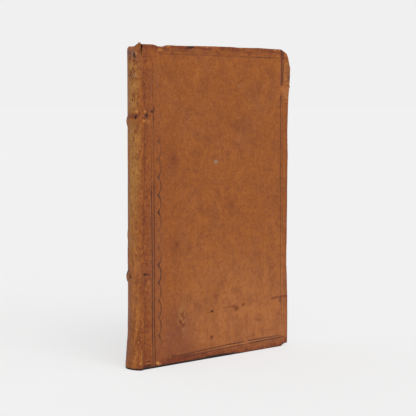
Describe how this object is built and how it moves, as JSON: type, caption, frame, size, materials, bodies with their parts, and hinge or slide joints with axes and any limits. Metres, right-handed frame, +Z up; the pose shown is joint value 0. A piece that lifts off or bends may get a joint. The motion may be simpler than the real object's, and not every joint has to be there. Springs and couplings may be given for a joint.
{
  "type": "antique leather book",
  "caption": "Thin old book in worn, blind-tooled brown calf over boards, with a round back on raised bands and hinged covers that open.",
  "frame": {"origin": "under the middle of the book's box, on the surface that the book stands on", "axes": "+Z up along the height from tail to head, -Y out of the front cover, +X from the spine to the fore-edge"},
  "size_m": [0.1222, 0.0126, 0.18],
  "materials": {
    "calf": "worn, slightly polished",
    "pasteboard": "matte, layered",
    "rag_paper": "matte, aged",
    "endpaper": "matte, laid",
    "lining_paper": "matte",
    "hemp_cord": "matte, twisted",
    "linen_thread": "matte",
    "endband_thread": "matte, wound"
  },
  "bodies": {
    "book_block": {"text_block": "rag_paper", "spine_leather": "calf", "spine_lining_head": "lining_paper", "spine_lining_middle": "lining_paper", "spine_lining_tail": "lining_paper", "sewing_band_upper": "hemp_cord", "sewing_band_lower": "hemp_cord", "headband": "endband_thread", "tailband": "endband_thread", "kettle_stitch_head": "linen_thread", "kettle_stitch_tail": "linen_thread"},
    "front_cover": {"front_board": "pasteboard", "front_leather": "calf", "front_pastedown": "endpaper", "front_slip_upper": "hemp_cord", "front_slip_lower": "hemp_cord"},
    "back_cover": {"back_board": "pasteboard", "back_leather": "calf", "back_pastedown": "endpaper", "back_slip_upper": "hemp_cord", "back_slip_lower": "hemp_cord"}
  },
  "joints": [
    {"name": "front_joint", "type": "hinge", "parent": "book_block", "child": "front_cover", "pos_m": [-0.05735, -0.00635, 0.09], "axis": [0, 0, -1], "range_deg": [0, 170]},
    {"name": "back_joint", "type": "hinge", "parent": "book_block", "child": "back_cover", "pos_m": [-0.05735, 0.00635, 0.09], "axis": [0, 0, 1], "range_deg": [0, 170]}
  ]
}
